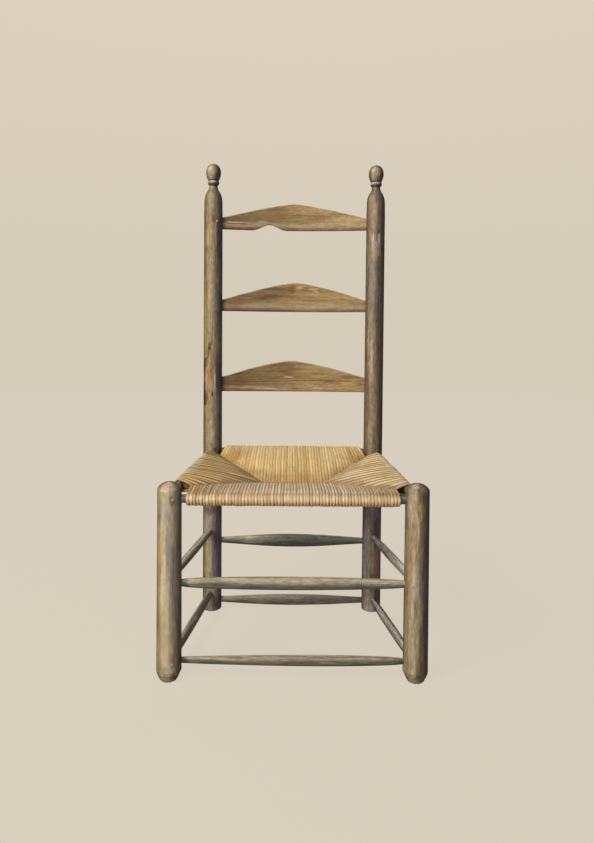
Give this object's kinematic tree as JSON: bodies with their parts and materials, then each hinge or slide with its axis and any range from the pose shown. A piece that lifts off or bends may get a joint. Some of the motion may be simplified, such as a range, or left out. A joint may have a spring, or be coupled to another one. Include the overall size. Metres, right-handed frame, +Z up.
{
  "type": "ladderback chair",
  "caption": "Low rustic side chair with a tall slatted ladder back, turned finials and a woven rush seat.",
  "frame": {"origin": "on the floor, below the middle of the chair's width and depth", "axes": "+X to the viewer's right when facing the chair's front, -Y to the front where the sitter's legs go, +Y to the back, +Z up"},
  "size_m": [0.516, 0.3775, 1.0784],
  "materials": {
    "post_wood": "worn olive-brown paint",
    "slat_wood": "worn golden-brown stain",
    "rail_wood": "dark bare wood",
    "stretcher_wood": "worn olive-brown paint",
    "peg_wood": "end grain",
    "seat_rush": "twisted rush cord",
    "stuffing_rush": "loose dry rush"
  },
  "bodies": {
    "root": {"left_front_post": "post_wood", "right_front_post": "post_wood", "left_rear_post": "post_wood", "right_rear_post": "post_wood", "top_slat": "slat_wood", "middle_slat": "slat_wood", "bottom_slat": "slat_wood", "front_seat_rail": "rail_wood", "rear_seat_rail": "rail_wood", "left_seat_rail": "rail_wood", "right_seat_rail": "rail_wood", "front_upper_stretcher": "stretcher_wood", "front_lower_stretcher": "stretcher_wood", "rear_upper_stretcher": "stretcher_wood", "rear_lower_stretcher": "stretcher_wood", "left_upper_stretcher": "stretcher_wood", "left_lower_stretcher": "stretcher_wood", "right_upper_stretcher": "stretcher_wood", "right_lower_stretcher": "stretcher_wood", "left_slat_peg": "peg_wood", "right_slat_peg": "peg_wood", "left_rail_peg": "peg_wood", "right_rail_peg": "peg_wood", "right_upper_peg": "peg_wood", "left_lower_peg": "peg_wood", "right_lower_peg": "peg_wood", "front_stuffing": "stuffing_rush", "rear_stuffing": "stuffing_rush", "left_stuffing": "stuffing_rush", "right_stuffing": "stuffing_rush", "rush_seat": "seat_rush"}
  },
  "joints": []
}
